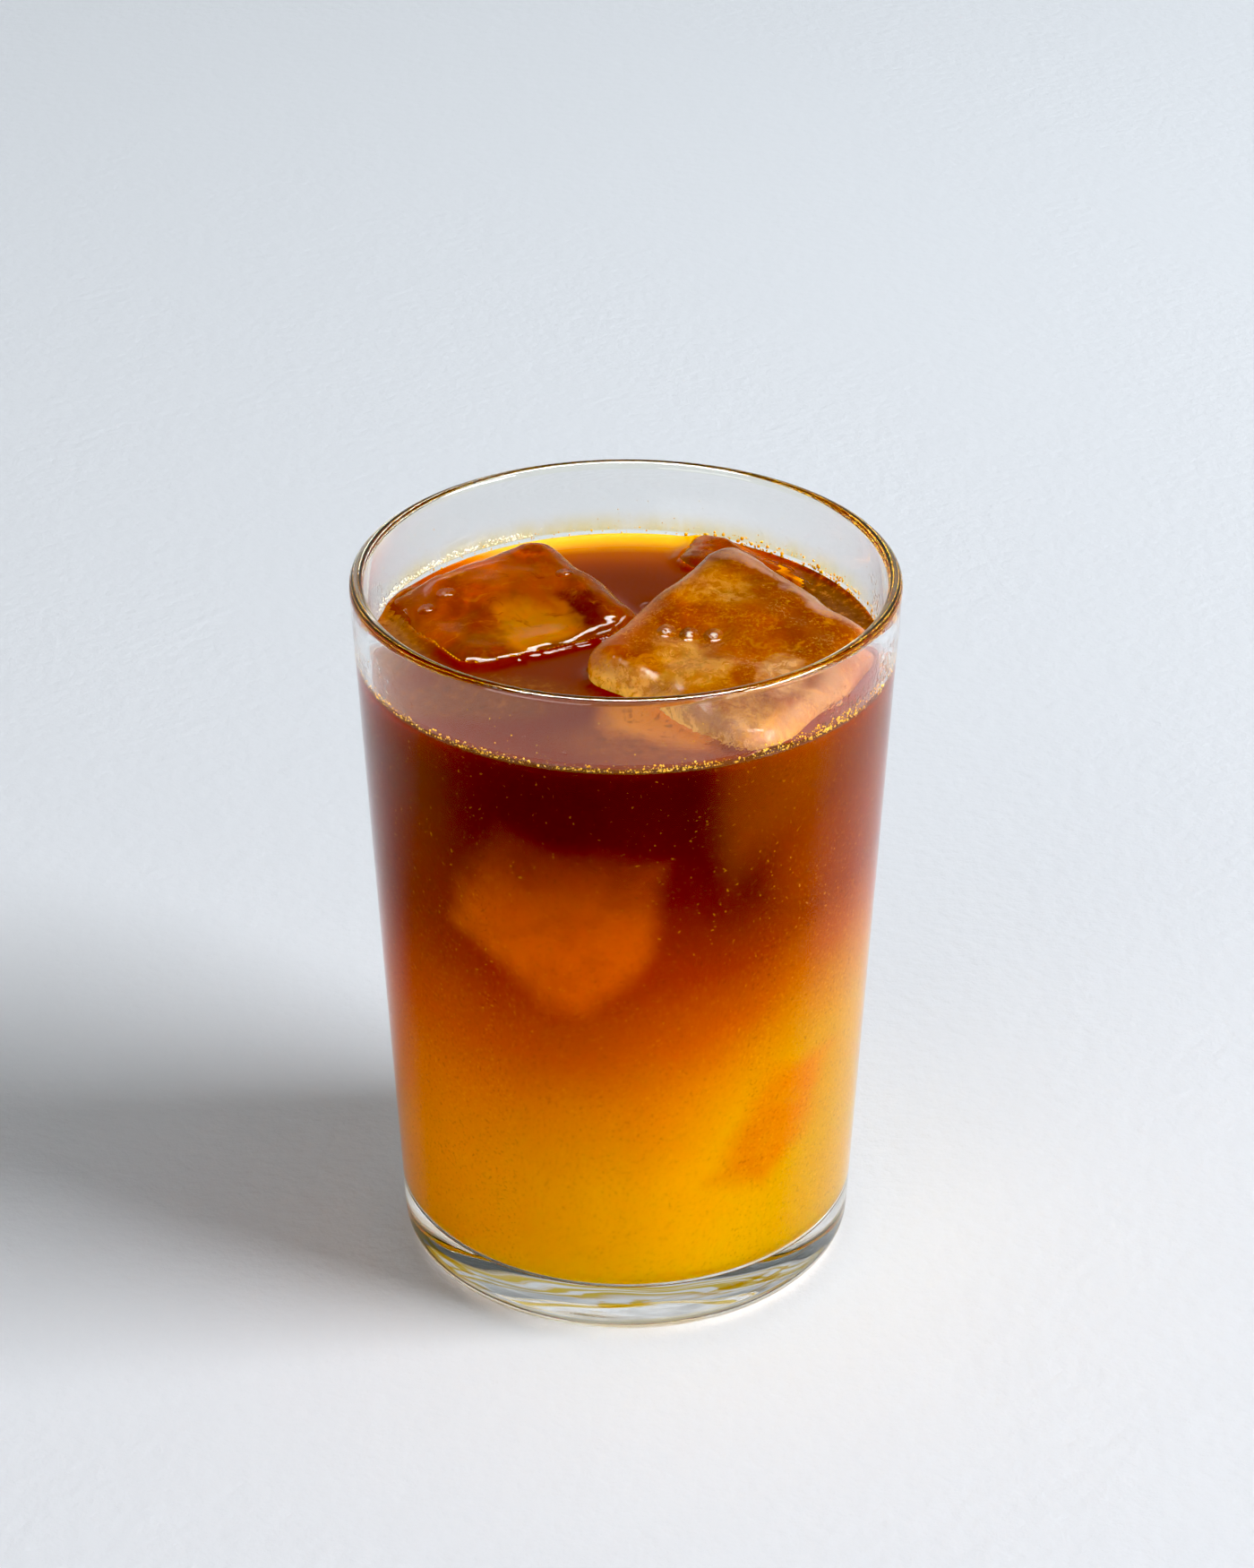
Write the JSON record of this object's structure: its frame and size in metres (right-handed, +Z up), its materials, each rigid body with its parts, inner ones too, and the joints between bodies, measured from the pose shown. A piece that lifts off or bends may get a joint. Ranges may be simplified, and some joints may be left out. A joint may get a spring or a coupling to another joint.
{
  "type": "iced coffee over orange juice in a glass tumbler",
  "caption": "Filled clear tumbler, slightly flared, with dark cold brew over orange juice and cloudy ice that stands out of the drink.",
  "frame": {"origin": "centre of the foot, on the surface that the glass stands on", "axes": "+Z up along the axis of the glass; the side that faces the viewer is -Y, with the highest piece of ice to its right, at +X"},
  "size_m": [0.0868, 0.0868, 0.1205],
  "materials": {
    "clear_glass": "clear, smooth and fire polished",
    "juice": "cloudy orange juice, seen through the glass",
    "coffee": "dark red-brown cold brew with a wet, shiny surface",
    "ice": "cloudy melting ice, stained amber by the coffee, wet"
  },
  "bodies": {
    "root": {"glass": "clear_glass", "orange_juice": "juice", "cold_brew": "coffee", "ice_left": "ice", "ice_right": "ice", "ice_back": "ice"}
  },
  "joints": []
}
